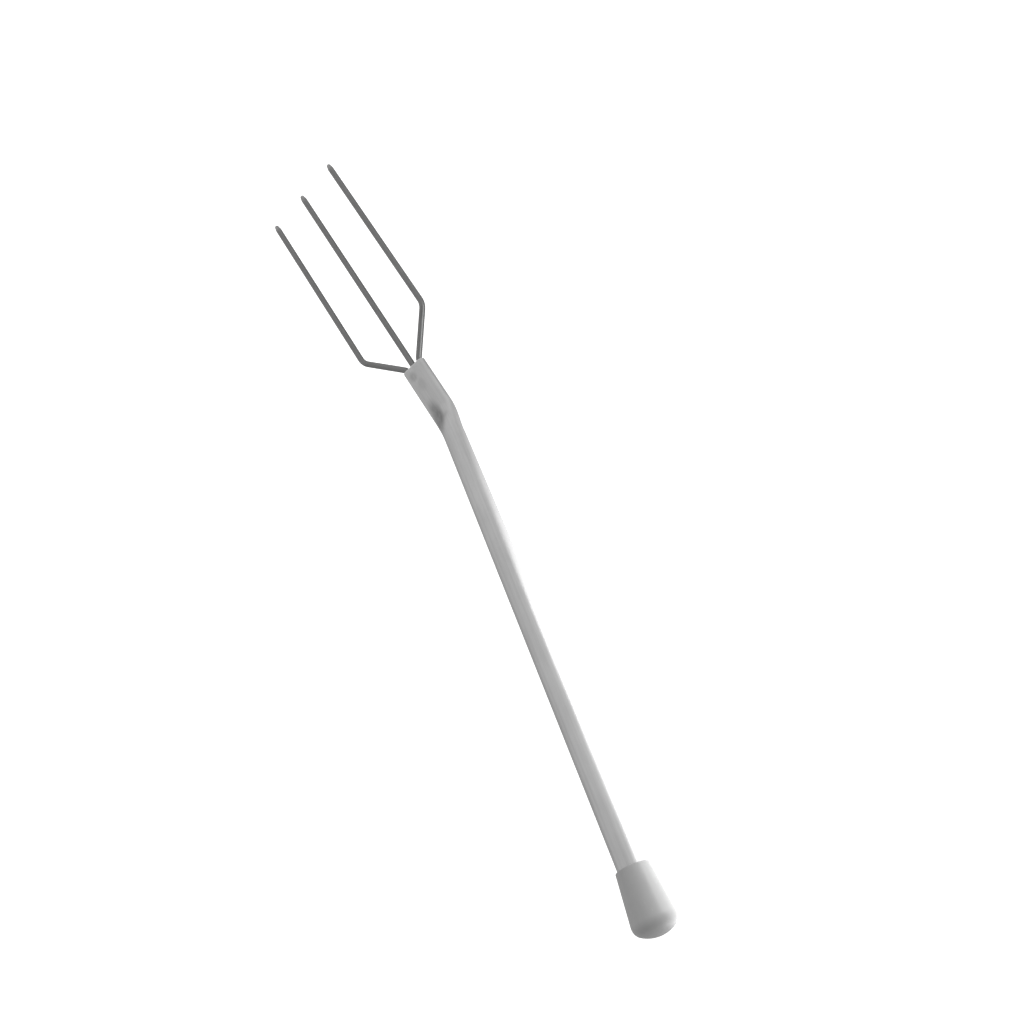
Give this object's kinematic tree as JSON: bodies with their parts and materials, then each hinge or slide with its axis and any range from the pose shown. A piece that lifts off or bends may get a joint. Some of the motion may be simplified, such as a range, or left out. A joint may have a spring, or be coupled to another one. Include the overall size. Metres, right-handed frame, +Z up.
{
  "type": "uncapping fork",
  "caption": "Long tube-handled fork with bent wire tines held in its flattened front end, and a flared cap with a domed end on the other.",
  "frame": {"origin": "on the surface the fork lies on, under the middle of its bounding box", "axes": "+X from the cap to the tips, +Y to the left tine, +Z up; XZ is the plane of symmetry"},
  "size_m": [0.4366, 0.0546, 0.0715],
  "materials": {
    "brushed_tube": "stainless tube, brushed along its length, satin",
    "tine_wire": "drawn steel wire, dull dark grey",
    "cap_plastic": "moulded grey plastic, smooth satin to semi-gloss"
  },
  "bodies": {
    "root": {"handle_tube": "brushed_tube", "tine_left": "tine_wire", "tine_centre": "tine_wire", "tine_right": "tine_wire", "end_cap": "cap_plastic"}
  },
  "joints": []
}
